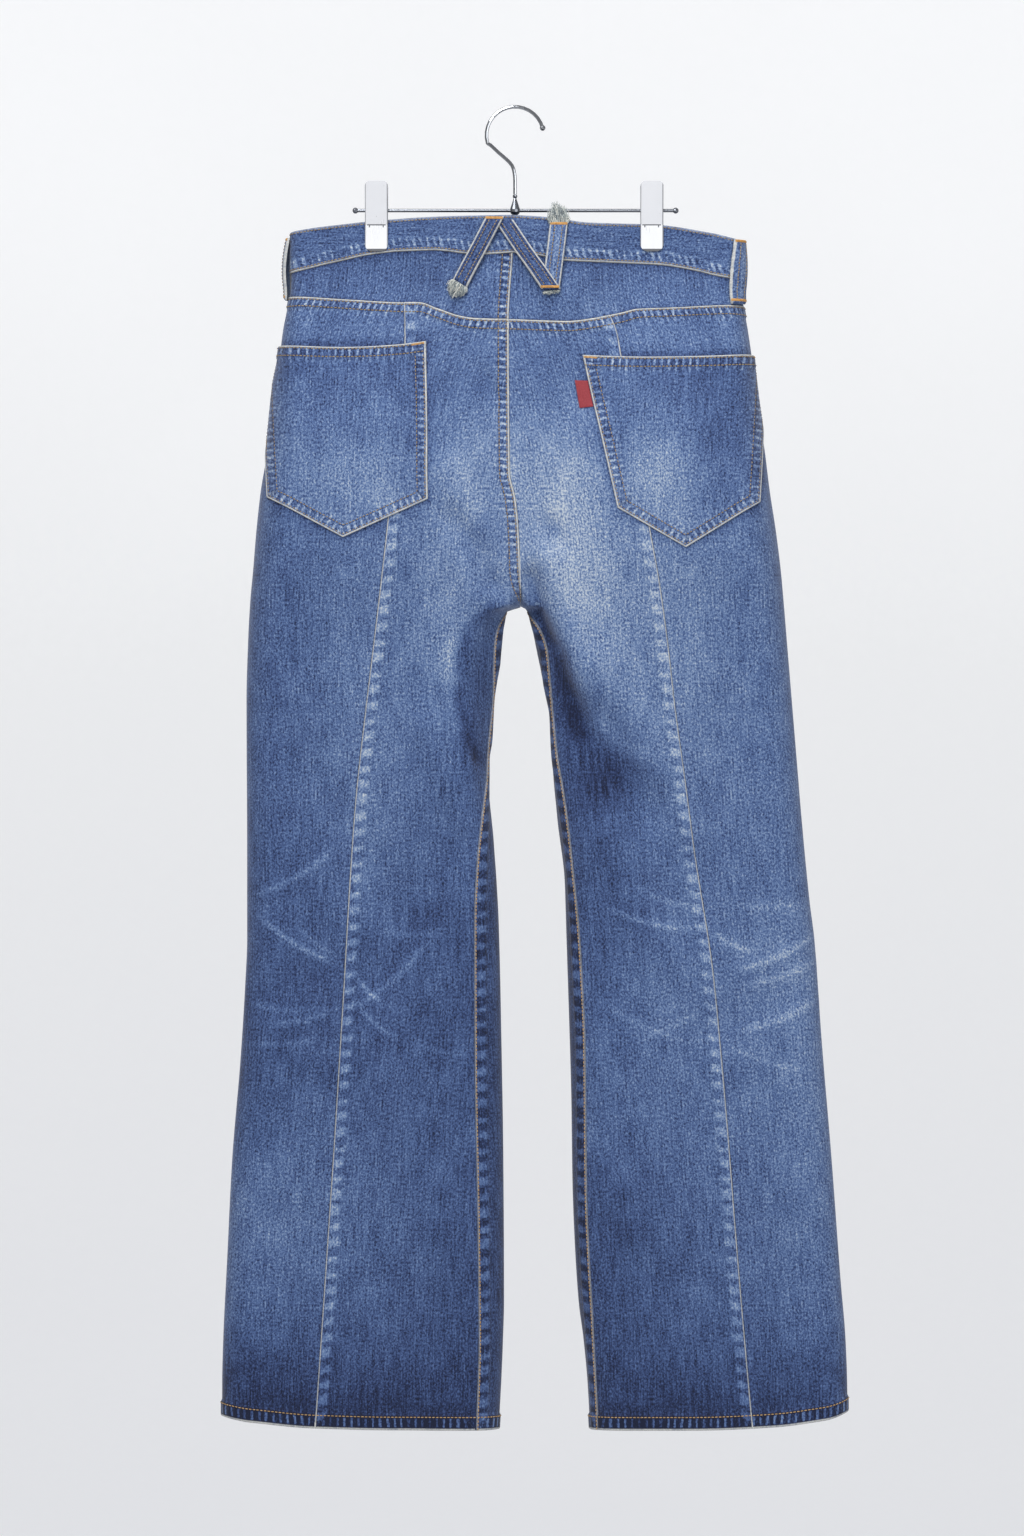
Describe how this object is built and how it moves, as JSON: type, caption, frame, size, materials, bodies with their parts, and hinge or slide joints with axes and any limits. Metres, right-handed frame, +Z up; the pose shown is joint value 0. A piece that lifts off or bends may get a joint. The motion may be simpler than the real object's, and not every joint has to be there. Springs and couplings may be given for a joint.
{
  "type": "flared trousers on a clip hanger",
  "caption": "Flared denim trousers with back yoke, patch pockets and seamed legs, hanging flat from a metal clip hanger.",
  "frame": {"origin": "the inner top of the hanger's hook, where it rests on a rail or peg", "axes": "+Z up along the hook's stem and the hanging legs; +X to the right as seen from behind the trousers, which is the wearer's right; the back of the trousers faces -Y and the front +Y"},
  "size_m": [0.5662, 0.0746, 1.1943],
  "materials": {
    "denim": "washed mid-blue twill",
    "hanger_steel": "polished",
    "button_metal": "worn copper",
    "tab_red": "plain woven tape",
    "loose_thread": "frayed cotton thread"
  },
  "bodies": {
    "root": {"back_left_inner": "denim", "back_left_outer": "denim", "back_right_inner": "denim", "back_right_outer": "denim", "front_left": "denim", "front_right": "denim", "yoke_left": "denim", "yoke_right": "denim", "waistband": "denim", "pocket_back_left": "denim", "pocket_back_right": "denim", "pocket_facing_left": "denim", "pocket_facing_right": "denim", "loop_back_slant_left": "denim", "loop_back_slant_right": "denim", "loop_back_upright": "denim", "loop_front_left": "denim", "loop_front_right": "denim", "loop_side_left": "denim", "loop_side_right": "denim", "hanger_hook": "hanger_steel", "hanger_bar": "hanger_steel", "clip_left_far": "hanger_steel", "clip_left_near": "hanger_steel", "clip_left_sleeve": "hanger_steel", "clip_right_far": "hanger_steel", "clip_right_near": "hanger_steel", "clip_right_sleeve": "hanger_steel", "button": "button_metal", "label_tab": "tab_red", "fray_slant": "loose_thread", "fray_upright": "loose_thread"}
  },
  "joints": []
}
